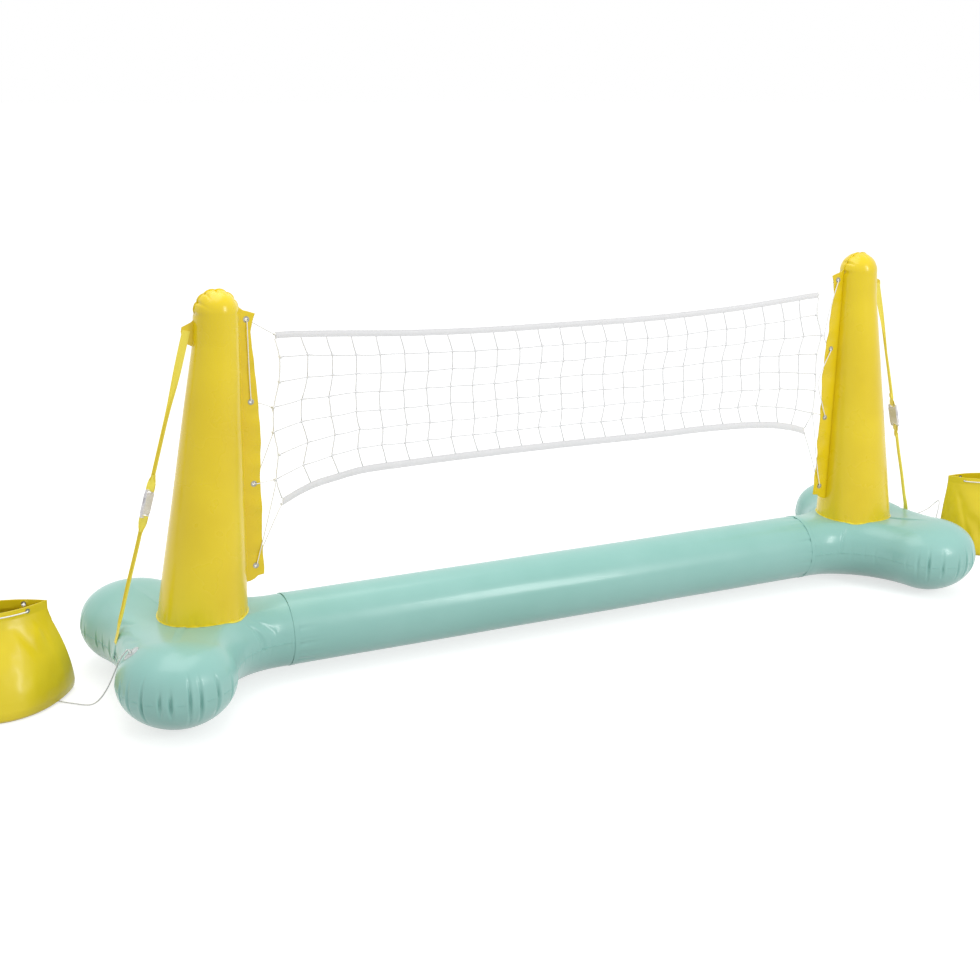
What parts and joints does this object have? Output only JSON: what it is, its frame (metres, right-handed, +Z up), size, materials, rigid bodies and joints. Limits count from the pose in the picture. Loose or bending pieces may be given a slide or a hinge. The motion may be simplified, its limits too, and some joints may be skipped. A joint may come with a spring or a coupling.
{
  "type": "floating inflatable volleyball net",
  "caption": "Inflatable base tube with two flared feet and two tapered posts that hold a laced net, braced by clipped straps, with a tied anchor bag at each end.",
  "frame": {"origin": "middle of the base on the ground, half way between the posts", "axes": "+X along the net from the left post to the right post, +Y through the net away from the viewer, +Z up"},
  "size_m": [3.129, 0.6374, 0.9178],
  "materials": {
    "aqua_vinyl": "gloss",
    "yellow_vinyl": "gloss",
    "white_cord": "matte",
    "clear_plastic": "gloss",
    "eyelet_metal": "satin"
  },
  "bodies": {
    "base": {"anchor_cord_left": "white_cord", "anchor_cord_right": "white_cord", "bag_eyelets_left": "eyelet_metal", "bag_eyelets_right": "eyelet_metal", "bag_left": "yellow_vinyl", "bag_right": "yellow_vinyl", "beam_tube": "aqua_vinyl", "bottom_tape": "white_cord", "clip_socket_left": "clear_plastic", "clip_socket_right": "clear_plastic", "cord_loop_left": "clear_plastic", "cord_loop_right": "clear_plastic", "cord_patch_left": "clear_plastic", "cord_patch_right": "clear_plastic", "crown_seam_left": "yellow_vinyl", "crown_seam_right": "yellow_vinyl", "cuff_left": "aqua_vinyl", "cuff_right": "aqua_vinyl", "drawcord_left": "white_cord", "drawcord_right": "white_cord", "flap_eyelets_left": "eyelet_metal", "flap_eyelets_right": "eyelet_metal", "foot_left": "aqua_vinyl", "foot_right": "aqua_vinyl", "foot_seam_left": "aqua_vinyl", "foot_seam_right": "aqua_vinyl", "lacing_left": "white_cord", "lacing_right": "white_cord", "net_flap_left": "yellow_vinyl", "net_flap_right": "yellow_vinyl", "net_mesh": "white_cord", "post_left": "yellow_vinyl", "post_right": "yellow_vinyl", "post_weld_left": "yellow_vinyl", "post_weld_right": "yellow_vinyl", "side_cord_left": "white_cord", "side_cord_right": "white_cord", "strap_ear_left": "yellow_vinyl", "strap_ear_right": "yellow_vinyl", "strap_lower_left": "yellow_vinyl", "strap_lower_right": "yellow_vinyl", "strap_tab_left": "yellow_vinyl", "strap_tab_right": "yellow_vinyl", "strap_upper_left": "yellow_vinyl", "strap_upper_right": "yellow_vinyl", "top_tape": "white_cord", "valve_base": "clear_plastic", "valve_post_left": "clear_plastic", "valve_post_right": "clear_plastic"},
    "clip_tongue_left": {"clip_tongue_left": "clear_plastic"},
    "clip_tongue_right": {"clip_tongue_right": "clear_plastic"},
    "plug_base": {"plug_base": "clear_plastic"},
    "plug_post_left": {"plug_post_left": "clear_plastic"},
    "plug_post_right": {"plug_post_right": "clear_plastic"}
  },
  "joints": [
    {"name": "clip_tongue_left_slide", "type": "slide", "parent": "base", "child": "clip_tongue_left", "axis": [-0.2587, 0, -0.966], "range_m": [0, 0.018], "deforming": ["strap_lower_left"]},
    {"name": "clip_tongue_right_slide", "type": "slide", "parent": "base", "child": "clip_tongue_right", "axis": [0.2587, 0, -0.966], "range_m": [0, 0.018], "deforming": ["strap_lower_right"]},
    {"name": "plug_base_pull", "type": "slide", "parent": "base", "child": "plug_base", "axis": [0, 1, 0], "range_m": [0, 0.009]},
    {"name": "plug_post_left_pull", "type": "slide", "parent": "base", "child": "plug_post_left", "axis": [0, 0.9967, 0.0807], "range_m": [0, 0.009]},
    {"name": "plug_post_right_pull", "type": "slide", "parent": "base", "child": "plug_post_right", "axis": [0, 0.9967, 0.0807], "range_m": [0, 0.009]}
  ]
}
